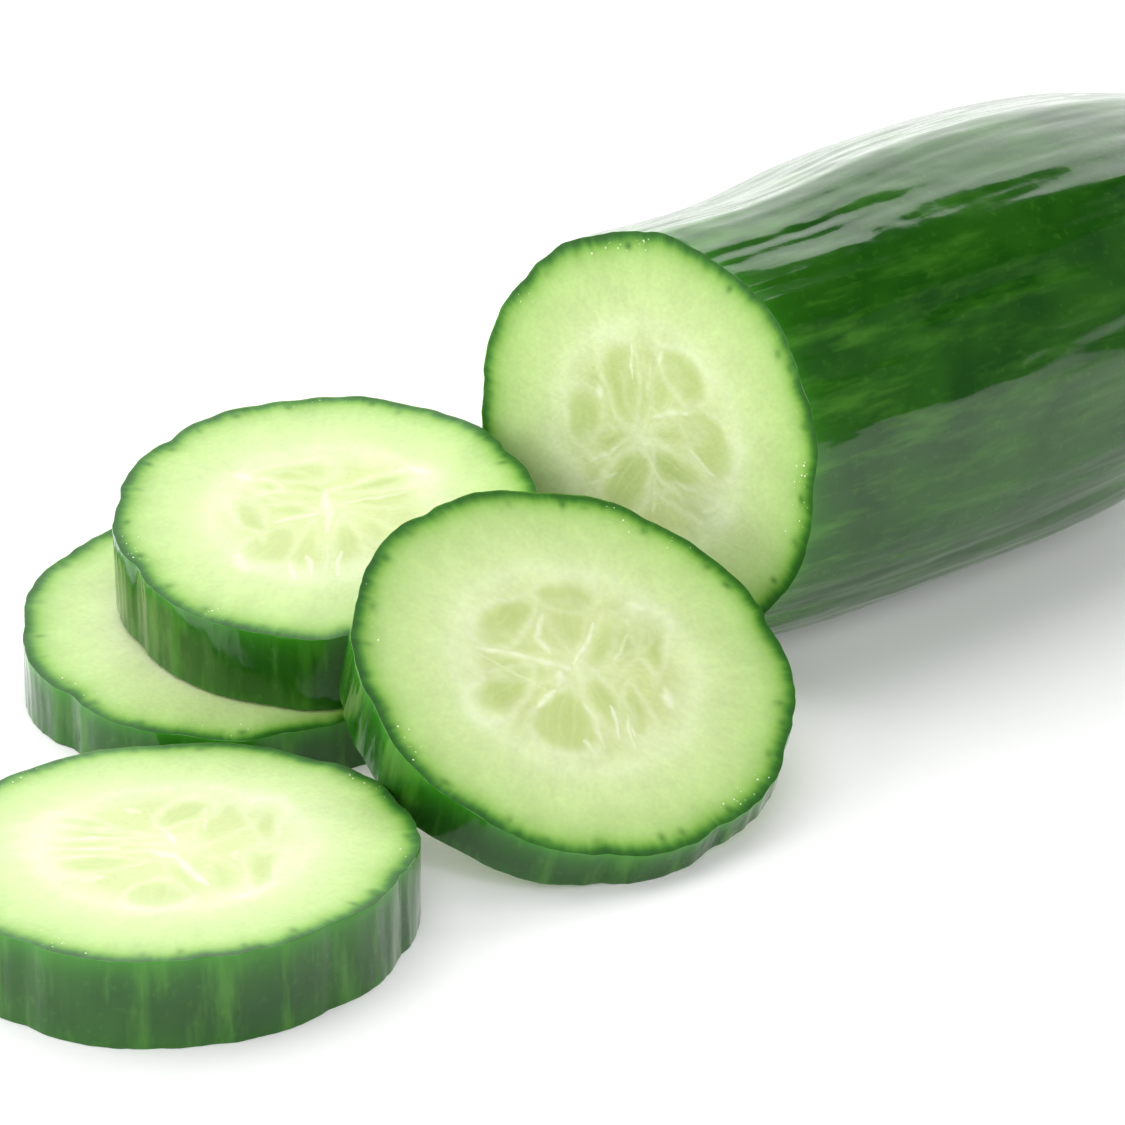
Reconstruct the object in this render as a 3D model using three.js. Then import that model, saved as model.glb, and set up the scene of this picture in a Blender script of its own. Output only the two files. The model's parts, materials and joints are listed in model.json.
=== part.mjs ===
// A sliced cucumber: four slices laid out in front of the uncut rest of the fruit.
//
// Millimetres. +X runs along the fruit from the knife cut to the blossom end, +Z is up, and the
// origin is at the middle of the footprint, on the surface that the pieces lie on.

import * as THREE from "three";

// The fruit's cross-section is a circle with shallow ribs, a little uneven all round.
const RIB_COUNT = 10;
const RIB_DEPTH = 0.024; // groove to crest, as a share of the radius
const RIB_MEAN = 2 / Math.PI; // mean height of a rib, so that ribs leave the radius as it is
const THREE_LOBE_SHARE = 0.01; // a cucumber grows from three carpels, which show as three soft lobes
const THREE_LOBE_TURN = 1; // radians
const OVAL_SHARE = 0.008;
const SEGMENTS = 60; // six steps to a rib, so that every groove and crest has a vertex

// The uncut rest of the fruit.
const FRUIT_LENGTH = 104;
const WIDEST_RADIUS = 25.8;
const WIDEST_AT = 42; // distance from the cut
const CUT_NARROWING = 0.06; // the radius at the cut is smaller than at the widest place by this share
const END_FULLNESS = 2.4; // 2 is an elliptical end, and more is blunter
const BODY_STEPS = 5; // rings between the cut and the widest place
const END_STEPS = 12; // rings from the widest place to the tip
const SCAR_RADIUS = 3; // small flat scar where the flower was
const SIDE_BEND = 4; // sideways drift of the fruit's axis over BEND_SPAN
const BEND_SPAN = 100;
const CUT_NORMAL = new THREE.Vector3(-0.979, -0.18, 0.095); // the knife went through a little askew
const ON_CUT = 0.001; // vertices nearer than this to the start belong to the cut face
const FRUIT_AXIS_Y = -23.9;
const FRUIT_AXIS_Z = 25.8;
const FRUIT_START_X = -7.1;

// The slices. A slice is a ribbed disc on its lower cut face, whose centre is at (x, y, z). It leans by
// lean degrees towards leanTo, a compass angle from +X. Hand-cut slices are wedges: the upper face
// leans by a further wedge degrees towards wedgeTo. turn spins a slice about its own axis.
const SLICES = {
  slice_front: {
    radius: 24.8, thickness: 9.1, x: -85.1, y: -42.7, z: 0,
    lean: 0, leanTo: 0, wedge: 2.1, wedgeTo: 54, turn: 4,
  },
  slice_lower: {
    radius: 24.2, thickness: 8.6, x: -48.3, y: -2.2, z: 0,
    lean: 0, leanTo: 0, wedge: 6.7, wedgeTo: -129, turn: 20,
  },
  slice_upper: {
    radius: 23.7, thickness: 10.3, x: -37.5, y: -4.6, z: 9.5,
    lean: 6.7, leanTo: -129, wedge: 2.8, wedgeTo: -119, turn: 12,
  },
  slice_leaning: {
    radius: 24.4, thickness: 6.1, x: -35.1, y: -44.5, z: 10.2,
    lean: 25, leanTo: -105.5, wedge: 7.3, wedgeTo: -47, turn: 8,
  },
};

const SKIN = { color: "#37692b", roughness: 0.32, metalness: 0 };
const FLESH = { color: "#dcefae", roughness: 0.45, metalness: 0 };

const radians = THREE.MathUtils.degToRad;

// Radius at an angle round the fruit, as a share of the mean radius.
function ribs(angle) {
  const rib = Math.abs(Math.cos((angle * RIB_COUNT) / 2)) - RIB_MEAN;
  const lobe = Math.cos(3 * angle + THREE_LOBE_TURN);
  return 1 + RIB_DEPTH * rib + THREE_LOBE_SHARE * lobe + OVAL_SHARE * Math.cos(2 * angle);
}

// Turns a round profile, given as (radius, height) points from the foot of the axis to its head,
// into a ribbed solid that stands along +Z.
function ribbedSolid(profile) {
  const geometry = new THREE.LatheGeometry(profile, SEGMENTS).rotateX(Math.PI / 2);
  moveVertices(geometry, (v) => {
    const share = ribs(Math.atan2(v.y, v.x));
    v.x *= share;
    v.y *= share;
  });
  return geometry;
}

function moveVertices(geometry, move) {
  const position = geometry.getAttribute("position");
  const v = new THREE.Vector3();
  for (let i = 0; i < position.count; i++) {
    move(v.fromBufferAttribute(position, i));
    position.setXYZ(i, v.x, v.y, v.z);
  }
  geometry.computeVertexNormals();
}

// Unit vector that leans from +Z by the given degrees towards a compass angle.
function leaning(degrees, towards) {
  const level = new THREE.Vector3(Math.cos(radians(towards)), Math.sin(radians(towards)), 0);
  return level.multiplyScalar(Math.sin(radians(degrees))).setZ(Math.cos(radians(degrees)));
}

function makeSlice(name, s) {
  const profile = [
    new THREE.Vector2(0, 0),
    new THREE.Vector2(s.radius, 0),
    new THREE.Vector2(s.radius, s.thickness),
    new THREE.Vector2(0, s.thickness),
  ];
  const geometry = ribbedSolid(profile).rotateZ(radians(s.turn));
  // The upper face is sheared into the plane that the knife left.
  const slope = leaning(s.wedge, s.wedgeTo);
  moveVertices(geometry, (v) => {
    if (v.z > s.thickness / 2) v.z -= (v.x * slope.x + v.y * slope.y) / slope.z;
  });
  const slice = new THREE.Mesh(geometry, new THREE.MeshStandardMaterial(FLESH));
  slice.name = name;
  slice.position.set(s.x, s.y, s.z);
  slice.quaternion.setFromUnitVectors(new THREE.Vector3(0, 0, 1), leaning(s.lean, s.leanTo));
  return slice;
}

// The uncut fruit's profile from the cut to the scar: a slow swell, then a full round end.
function fruitProfile() {
  const profile = [new THREE.Vector2(0, 0)];
  for (let i = 0; i < BODY_STEPS; i++) {
    const share = i / BODY_STEPS;
    const radius = WIDEST_RADIUS * (1 - CUT_NARROWING * (1 - share) ** 2);
    profile.push(new THREE.Vector2(radius, WIDEST_AT * share));
  }
  // Rings crowd towards the scar, where the profile turns fastest.
  const scarShare = (1 - (SCAR_RADIUS / WIDEST_RADIUS) ** 2) ** (1 / END_FULLNESS);
  for (let i = 0; i <= END_STEPS; i++) {
    const share = scarShare * Math.sin((Math.PI / 2) * (i / END_STEPS));
    const radius = WIDEST_RADIUS * Math.sqrt(1 - share ** END_FULLNESS);
    profile.push(new THREE.Vector2(radius, WIDEST_AT + (FRUIT_LENGTH - WIDEST_AT) * share));
  }
  profile.push(new THREE.Vector2(0, profile.at(-1).y));
  return profile;
}

function makeFruit() {
  // The solid's +Z becomes the row's +X, and its start is sheared into the askew cut.
  const geometry = ribbedSolid(fruitProfile()).rotateY(Math.PI / 2);
  moveVertices(geometry, (v) => {
    const along = v.x;
    if (along < ON_CUT) v.x -= (v.y * CUT_NORMAL.y + v.z * CUT_NORMAL.z) / CUT_NORMAL.x;
    v.y += SIDE_BEND * (along / BEND_SPAN) ** 2;
  });
  const fruit = new THREE.Mesh(geometry, new THREE.MeshStandardMaterial(SKIN));
  fruit.name = "cut_cucumber";
  fruit.position.set(FRUIT_START_X, FRUIT_AXIS_Y, FRUIT_AXIS_Z);
  return fruit;
}

const model = new THREE.Group();
model.add(makeFruit());
for (const [name, sizes] of Object.entries(SLICES)) {
  model.add(makeSlice(name, sizes));
}

// The two askew pieces are let down onto the surface, and the footprint is centred on the origin.
const box = new THREE.Box3();
for (const name of ["cut_cucumber", "slice_leaning"]) {
  const piece = model.getObjectByName(name);
  piece.position.z -= box.setFromObject(piece, true).min.z;
}
const middle = box.setFromObject(model, true).getCenter(new THREE.Vector3());
for (const piece of model.children) {
  piece.position.x -= middle.x;
  piece.position.y -= middle.y;
}

export default model;
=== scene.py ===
"""A sliced cucumber: four slices laid out in front of the uncut rest of the fruit, on a plain floor.

The script is laid out as an add-on and run as a script. Lengths are metres unless a name ends in _MM.
"""

import json
import math

import bpy
import numpy as np
from mathutils import Matrix, Vector

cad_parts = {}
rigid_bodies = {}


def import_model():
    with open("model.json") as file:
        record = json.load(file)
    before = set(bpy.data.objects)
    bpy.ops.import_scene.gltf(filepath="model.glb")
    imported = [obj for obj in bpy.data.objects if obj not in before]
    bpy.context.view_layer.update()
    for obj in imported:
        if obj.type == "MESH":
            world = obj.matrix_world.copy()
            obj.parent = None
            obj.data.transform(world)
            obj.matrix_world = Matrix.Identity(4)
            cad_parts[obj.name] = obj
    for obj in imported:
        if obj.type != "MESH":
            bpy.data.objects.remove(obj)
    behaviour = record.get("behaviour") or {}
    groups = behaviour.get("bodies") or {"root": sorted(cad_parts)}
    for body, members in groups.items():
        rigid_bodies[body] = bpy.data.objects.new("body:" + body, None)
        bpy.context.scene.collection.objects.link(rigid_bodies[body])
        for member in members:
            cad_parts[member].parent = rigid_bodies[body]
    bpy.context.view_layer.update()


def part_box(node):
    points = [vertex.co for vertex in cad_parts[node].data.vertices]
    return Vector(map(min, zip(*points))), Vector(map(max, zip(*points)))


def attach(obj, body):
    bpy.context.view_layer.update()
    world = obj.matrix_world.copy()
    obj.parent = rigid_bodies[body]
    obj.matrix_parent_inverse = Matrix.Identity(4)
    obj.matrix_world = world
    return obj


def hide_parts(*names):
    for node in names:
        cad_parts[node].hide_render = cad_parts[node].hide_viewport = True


bl_info = {
    "name": "Sliced Cucumber",
    "version": (1, 0, 0),
    "blender": (4, 5, 0),
    "location": "View3D > Sidebar > Cucumber",
    "description": "Builds a cut cucumber and its slices around a packed CAD frame",
    "category": "Object",
}

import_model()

MM = 0.001
SEGMENTS = 480  # steps round every piece, 48 to a rib
ANGLES = np.arange(SEGMENTS) * 2 * np.pi / SEGMENTS
OUTLINE_STEPS = 360  # steps round the CAD outline that places a piece
RAY_STEP_MM = 25.0  # rise along the fruit that counts like one radian round it, in patterns on the skin

# The camera looks along this compass direction, and every core layout is drawn with its x axis to
# the camera's right, as the faces are seen from there.
VIEW_AZIMUTH = math.radians(-38.57)
VIEW_ELEVATION = math.radians(25.61)
VIEW_DISTANCE = 0.6102
VIEW_AIM = Vector((0.0068, 0.0231, 0.0))
VIEW_LENS_MM = 164.53
VIEW_RIGHT = Vector((math.cos(VIEW_AZIMUTH), math.sin(VIEW_AZIMUTH), 0.0))

# The lights. Each has a name, the setting for its brightness, its place and the point it faces, both as
# (to the camera's right, behind the subject, above the floor), and its width and height.
LIGHTS = [
    ("backdrop", "backdrop", (0, 1.3, 0.9), (0, 0, 0.9), (3.4, 1.8)),
    ("key_softbox", "key", (-0.15, 0.05, 1.15), (0, 0, 0), (1.2, 1.1)),
    ("front_fill", "front", (0.45, -1.3, 0.95), (0, 0, 0), (2.4, 0.9)),
    ("left_wall", "left", (-1.5, -0.3, 0.9), (0, -0.3, 0.9), (2.4, 1.8)),
    ("side_wall", "right", (1.5, 0, 0.55), (0, 0, 0.55), (3.0, 1.1)),
]
FLOOR_HALF = 8.0  # half the floor's side, so that its edge stays out of low views
FLOOR_DROP = 0.00003  # keeps the floor clear of what lies flat on it

# The uncut rest of the fruit, as the CAD makes it.
FRUIT_LENGTH_MM = 104.0
WIDEST_RADIUS_MM = 25.8
WIDEST_AT_MM = 42.0
CUT_NARROWING = 0.06
END_FULLNESS = 2.4
SCAR_RADIUS_MM = 3.0
# The blossom scar is a low ring with a dry hollow in it: each ring's radius, and its height past the tip.
SCAR_RINGS_MM = [(2.6, 0.15), (2.1, 0.2), (1.6, -0.1), (1.1, -0.4), (0.6, -0.5)]
FRUIT_SEED = 11
SADDLE_MM = 1.7  # how far the upper back dips behind the cut
SADDLE_AT_MM = 16.0
SADDLE_SPAN_MM = 14.0
SADDLE_SIDE = Vector((0.0, 0.52, 0.85))
SIDE_BEND_MM = 4.0
BEND_SPAN_MM = 100.0
CUT_NORMAL = Vector((-0.979, -0.18, 0.095))

# Each slice, as the CAD makes it: radius, thickness, then lean and wedge in degrees with the
# compass angles they point to, and the turn about the slice's own axis.
SLICES = {
    "slice_front": dict(radius=24.8, thickness=9.1, lean=(0, 0), wedge=(2.1, 54), turn=4),
    "slice_lower": dict(radius=24.2, thickness=8.6, lean=(0, 0), wedge=(6.7, -129), turn=20),
    "slice_upper": dict(radius=23.7, thickness=10.3, lean=(6.7, -129), wedge=(2.8, -119), turn=12),
    "slice_leaning": dict(radius=24.4, thickness=6.1, lean=(25, -105.5), wedge=(7.3, -47), turn=8),
}

EDGE_MM = 0.04  # the knife leaves the rim this sharp
END_INSET_MM = 0.16  # the middle of a cut face sits this far inside it

# Depths of a cut face's rings below the skin: close together in the rind, then even across the core.
CORE_FROM_MM = 10.0
RIM_DEPTHS_MM = [EDGE_MM, 0.15, 0.3, *np.arange(0.5, 4.0, 0.2), *np.arange(4.0, CORE_FROM_MM, 0.5)]
SEEN_STEP_MM = 0.28
UNSEEN_STEP_MM = 0.6
MIDDLE_MM = 0.3  # the innermost ring is wider than this

# Rings of skin: on a slice's wall between its rims, on the fruit as far as its widest, and from there
# to the scar.
WALL_RINGS = 9
SWELL_RINGS = 38
END_RINGS = 43
OUTLINE_STATIONS = 120  # places along the fruit where its CAD outline is measured

# Relief of a cut face: seeds, fibres and vessels stand in it, the watery core sinks as it dries, and
# the knife leaves a slow wave.
SEED_RISE_MM = 0.05
FIBRE_RISE_MM = 0.03
CORE_SINK_MM = 0.06
KNIFE_WAVE_MM = 0.05
VESSELS = 24

# The skin's colour is painted lighter near a cut, a painted glow for light that comes through the cut
# flesh.
# Less light comes through at a slice's lower rim, and less through the whole fruit than through a
# slice, so both count as this much further from a cut.
LOWER_RIM_MM = 2.2
WHOLE_FRUIT_MM = 1.2

# Seed cores. A seed is (x, y, length, width, turn in degrees, how dark it is), and a strand of pale
# fibre is (x, y, x, y, width, how pale it is). All lengths here are millimetres from the face's middle.
CORES = {
    "cut_cucumber": dict(
        seeds=[
            (-9.2, 0.9, 6.6, 4.8, 85, 0.8), (-3.6, 6.0, 10.0, 4.2, 102, 0.9),
            (-1.2, 4.6, 6.5, 2.8, 95, 0.5), (5.0, 8.8, 7.4, 4.2, -38, 1.0),
            (2.4, 6.0, 5.0, 2.8, 70, 0.5), (9.0, 1.6, 9.2, 5.6, -45, 0.8),
            (3.2, 1.2, 6.0, 1.8, 14, 0.6), (3.8, -2.6, 9.4, 3.6, -24, 1.0),
            (6.4, -6.0, 7.4, 2.4, -4, 1.0), (-2.6, -5.2, 9.6, 5.2, -125, 1.0),
            (-5.0, -0.8, 6.0, 1.8, 212, 0.8), (-7.2, -4.6, 5.0, 2.0, 212, 0.5),
        ],
        strands=[
            (-2.4, 10.6, -2.4, 7.0, 0.5, 0.9), (2.2, 10.8, 2.0, 9.4, 0.9, 0.9),
            (0.4, 9.0, 0.2, 5.0, 0.8, 0.4), (0.8, 2.6, 5.8, 4.4, 0.9, 0.9),
            (6.6, -0.4, 9.8, -2.2, 0.8, 0.6), (-6.8, 5.0, -6.6, 3.2, 1.2, 0.9),
            (-8.4, -4.4, -3.6, -1.4, 0.7, 0.7), (-8.6, -6.8, -4.4, -4.6, 0.6, 0.6),
            (1.2, -4.0, 0.8, -8.0, 0.8, 0.5), (2.6, -4.4, 9.4, -4.8, 0.7, 0.6),
            (10.4, -5.4, 8.6, -6.6, 1.2, 0.7), (-0.4, 1.6, -0.2, -2.2, 1.2, 0.5),
        ],
    ),
    "slice_leaning": dict(
        seeds=[
            (-1.6, 9.6, 7.0, 4.0, 18, 0.7), (-7.6, 4.8, 8.6, 4.4, 230, 0.9),
            (-6.6, 1.4, 6.4, 2.0, 184, 0.4), (-6.2, -1.5, 8.0, 2.2, 178, 0.7),
            (-7.9, -4.9, 8.4, 4.2, 232, 1.0), (-1.0, -7.2, 8.4, 6.4, -96, 0.8),
            (3.6, 3.8, 8.6, 3.2, 62, 0.7), (5.9, 4.6, 8.0, 2.4, 70, 0.7),
            (8.4, 5.4, 7.8, 3.4, 98, 0.9), (-0.8, 5.6, 5.8, 3.6, 100, 0.5),
            (3.2, -3.6, 7.6, 3.2, -62, 0.8), (6.6, -4.2, 6.6, 3.0, -82, 0.8),
        ],
        strands=[
            (0.2, 0.2, 2.2, 6.4, 0.7, 1.0), (-11.0, 0.1, -0.4, -0.2, 1.1, 0.8),
            (-1.6, -1.0, -1.8, -2.4, 1.2, 1.0), (-2.2, -3.4, -4.2, -6.4, 1.1, 1.0),
            (-3.4, 6.4, -4.2, 3.6, 0.9, 0.7), (-4.2, 3.6, -3.0, 1.2, 1.2, 0.8),
            (4.0, -4.6, 5.0, -8.2, 0.6, 1.0), (5.8, -5.4, 7.0, -9.2, 0.6, 0.9),
            (6.6, -6.4, 7.2, -8.0, 0.4, 0.8), (1.2, -4.6, 3.2, -10.0, 0.8, 0.7),
            (4.2, 1.2, 5.6, 6.2, 0.5, 0.6), (10.4, -0.4, 10.6, -3.0, 1.3, 0.9),
            (6.0, 10.4, 7.4, 9.8, 1.4, 0.8), (1.0, -9.4, 2.4, -11.4, 0.5, 0.8),
            (-10.6, -0.6, -3.2, -3.6, 0.6, 0.5),
        ],
    ),
    "slice_front": dict(
        seeds=[
            (-9.6, 5.0, 6.4, 2.2, 160, 0.8), (-8.6, 3.1, 8.4, 1.5, 176, 1.0),
            (-8.8, 0.9, 7.4, 1.2, 181, 0.8), (-9.4, -1.3, 6.4, 1.1, 184, 0.8),
            (-8.0, -4.0, 8.6, 3.2, 187, 0.7), (0.2, 7.6, 7.0, 4.0, 55, 0.9),
            (4.6, 5.4, 9.6, 4.6, 68, 0.5), (9.0, 5.6, 9.4, 2.8, 94, 0.8),
            (9.4, -5.2, 9.0, 2.8, 88, 0.9), (-1.0, -10.4, 6.6, 5.8, -86, 0.8),
            (1.6, -6.6, 6.4, 3.0, -60, 0.4), (5.4, -6.6, 7.0, 2.6, -75, 0.5),
        ],
        strands=[
            (-1.8, 4.2, 0.0, 1.0, 1.0, 0.9), (-2.2, -0.8, 0.6, -2.6, 1.2, 0.9),
            (0.6, -2.6, 4.0, -8.4, 1.2, 1.0), (-5.6, 8.6, -4.2, 8.0, 1.4, 0.8),
            (-12.2, 2.0, -6.0, 2.1, 0.6, 0.9), (-12.4, -0.2, -5.4, -0.2, 0.6, 0.8),
            (-12.0, -2.4, -7.8, -2.4, 0.5, 0.8), (-9.0, -7.2, -6.6, -6.6, 1.4, 0.7),
            (6.6, -1.0, 6.4, -3.0, 1.3, 0.6), (7.0, -11.4, 8.8, -11.2, 1.4, 0.8),
            (7.0, 10.4, 9.0, 11.2, 1.2, 0.7), (2.4, 9.0, 3.2, 3.4, 0.6, 0.5),
        ],
    ),
    "slice_upper": dict(
        seeds=[
            (-4.2, 8.0, 8.2, 3.6, 12, 0.8), (-3.0, 5.6, 5.6, 3.0, 150, 0.5),
            (5.6, 5.8, 8.4, 1.9, 18, 1.0), (5.4, 2.8, 8.0, 2.8, 14, 0.5),
            (-6.9, 5.2, 2.6, 1.1, 160, 1.0), (-6.6, 2.4, 3.0, 1.0, 170, 0.7),
            (-8.4, -0.8, 6.4, 2.6, 112, 0.9), (-4.4, 0.6, 5.6, 2.6, 180, 0.5),
            (-6.0, -6.6, 7.4, 5.0, 240, 0.6), (-1.8, -6.6, 7.6, 2.4, -94, 0.5),
            (2.4, -5.4, 7.4, 2.8, -84, 0.7), (5.4, -3.0, 5.4, 2.2, -50, 0.5),
        ],
        strands=[
            (-10.6, 7.6, -8.4, 6.4, 1.6, 0.9), (8.8, 9.0, 10.8, 8.2, 1.6, 0.9),
            (-3.3, -9.2, -3.1, -13.0, 0.7, 1.0), (-1.6, -8.2, -1.3, -12.0, 0.6, 1.0),
            (2.0, -7.8, 1.9, -12.0, 0.6, 1.0), (0.2, -6.4, 0.3, -11.0, 0.6, 0.7),
            (-9.4, -8.4, -8.4, -11.0, 1.6, 0.8), (0.0, 4.4, 0.2, -3.4, 1.1, 0.8),
            (-5.8, -2.2, -1.0, 0.2, 1.0, 0.7), (0.6, 1.4, 8.4, 4.2, 0.7, 0.6),
            (-8.6, 3.6, -5.2, 4.2, 0.5, 0.9), (-7.6, 6.6, -4.8, 5.0, 0.6, 0.7),
        ],
    ),
}


def linear(hex_colour):
    """An sRGB hex colour as the linear RGBA that shaders take."""
    channels = [int(hex_colour[i : i + 2], 16) / 255 for i in (1, 3, 5)]
    return tuple(c / 12.92 if c <= 0.04045 else ((c + 0.055) / 1.055) ** 2.4 for c in channels) + (1.0,)


def colour(name, description, default):
    return bpy.props.FloatVectorProperty(
        name=name, description=description, default=linear(default), subtype="COLOR", size=4, min=0, max=1
    )


def share(name, description, default):
    return bpy.props.FloatProperty(
        name=name, description=description, default=default, subtype="FACTOR", min=0, max=1
    )


def length(name, description, default):
    return bpy.props.FloatProperty(
        name=name, description=description, default=default, subtype="DISTANCE", unit="LENGTH", min=0
    )


def radiance(name, description, default):
    return bpy.props.FloatProperty(name=name, description=description, default=default, min=0)


class CucumberShape(bpy.types.PropertyGroup):
    """Sizes that every piece of the fruit shares."""

    rib_count: bpy.props.IntProperty(name="Ribs", description="Ribs round the fruit", default=10, min=3)
    rib_depth: share("Rib depth", "Groove to crest, as a share of the radius", 0.024)
    three_lobe: share("Three lobes", "How far the three carpels swell, as a share of the radius", 0.01)
    oval: share("Oval", "How far the section is from round, as a share of the radius", 0.008)
    unevenness: share("Unevenness", "Random swell and dip round the section", 0.045)
    bump_height: length("Skin bumps", "Height of the low bumps on the skin", 0.00016)
    bead_radius: length("Juice bead radius", "Radius of the largest bead of juice", 0.00014)


class CucumberSkin(bpy.types.PropertyGroup):
    """Colours of the waxy skin."""

    # Deep green lies wherever the blotch noise leaves the skin bare; the grooves are not painted darker.
    deep: colour("Deep green", "Shaded grooves and the darkest blotches", "#16480d")
    body: colour("Body green", "Most of the skin", "#225710")
    light: colour("Light green", "Lengthwise streaks and freckles", "#4a8527")
    # Painted glow: this green is laid on the skin near each cut for light that comes through the cut
    # flesh.
    rim: colour("Rim green", "Skin just under a cut, where light comes through", "#3f9420")
    scar: colour("Scar", "Dry blossom scar", "#8c7a4c")


class CucumberFlesh(bpy.types.PropertyGroup):
    """Colours of the cut flesh."""

    seed: colour("Seed", "Unripe seeds under the gel", "#b8ca7e")
    strand: colour("Strand", "Pale fibres of the core", "#f0f7dc")
    vein: colour("Vein", "Green vessels just inside the skin", "#2f7019")


class CucumberStage(bpy.types.PropertyGroup):
    """Floor and lights."""

    floor: colour("Floor", "Plain studio floor", "#ededed")
    glow: radiance("Floor glow", "Brightness of the floor's own even light from below", 0.15)
    backdrop: radiance("Backdrop", "Brightness of the lit white wall behind", 2.3)
    key: radiance("Key", "Brightness of the large soft light above", 2.05)
    front: radiance("Front fill", "Brightness of the broad soft light over the camera", 2.5)
    left: radiance("Left wall", "Brightness of the white wall on the left", 2.2)
    right: radiance("Right wall", "Brightness of the dark grey wall on the right", 0.14)
    room: radiance("Room", "Brightness of the even light from all round", 0.14)


def add(tree, kind, inputs=None, **settings):
    """Adds a node, sets it, and gives each input a value or a link."""
    node = tree.nodes.new(kind)
    for name, value in settings.items():
        setattr(node, name, value)
    for key, value in (inputs or {}).items():
        if isinstance(value, bpy.types.NodeSocket):
            tree.links.new(value, node.inputs[key])
        else:
            node.inputs[key].default_value = value
    return node


def calculate(tree, value, *steps):
    """Runs a value through a chain of (operation, operand) maths steps and returns the last socket."""
    for operation, *operand in steps:
        inputs = dict(enumerate([value, *operand]))
        value = add(tree, "ShaderNodeMath", inputs, operation=operation).outputs[0]
    return value


def weigh(tree, *terms, plus=0.0):
    """Adds up (value, weight) pairs and a constant, and returns the socket."""
    total = plus
    for value, weight in terms:
        total = calculate(tree, value, ("MULTIPLY", weight), ("ADD", total))
    return total


def paint(tree, colour, *coats):
    """Lays (how much, colour, way) coats over a colour, one after another, and returns the socket."""
    for amount, coat, way in coats:
        inputs = {0: amount, 6: colour, 7: coat}
        colour = add(tree, "ShaderNodeMix", inputs, data_type="RGBA", blend_type=way).outputs[2]
    return colour


def smooth(low, high, value):
    """Smooth step from 0 at low to 1 at high."""
    t = np.clip((value - low) / (high - low), 0, 1)
    return t * t * (3 - 2 * t)


# ---------------------------------------------------------------- materials


def new_material(name, uniform):
    """A material with one shader and its uniform settings, and a tree to add patterns to."""
    material = bpy.data.materials.new(name)
    material.use_nodes = True
    tree = material.node_tree
    tree.nodes.clear()
    shader = add(tree, "ShaderNodeBsdfPrincipled", uniform)
    add(tree, "ShaderNodeOutputMaterial", {"Surface": shader.outputs[0]})
    return material, tree, shader


# Colour of the flesh by distance from the skin, in millimetres: green rind, pale flesh, the whitish
# ring round the core, then the watery core itself.
FLESH_BY_DEPTH = [
    (0.0, "#20560e"), (0.5, "#2e6c18"), (0.9, "#508d28"), (1.4, "#7dae48"), (2.0, "#9ac464"),
    (2.8, "#adcf7b"), (4.0, "#bbd88a"), (6.0, "#c6de96"), (9.0, "#d1e4a4"), (10.8, "#dceab5"),
    (12.6, "#d8e5ac"), (14.5, "#cedb99"), (20.0, "#d2df9d"), (24.0, "#dde8b2"),
]
FLESH_DEPTH_MM = FLESH_BY_DEPTH[-1][0]
FLESH_TONE = 0.7  # the darkest flesh, as a share of the colours above
# Painted sparkle: the juice beads are coloured opaque pale green, standing in for light glinting in clear
# juice.
JUICE_SPARKLE_TONES = "#dcefb4", "#f2fbdc"

# Sizes of the patterns, in millimetres.
CELL_MM = 0.6
CLOUD_MM = 5.0
BLOTCH_MM = 9.0
FRECKLE_MM = 1.1
RIPPLE_MM = 0.3
HAZE_MM = 2.0


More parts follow.
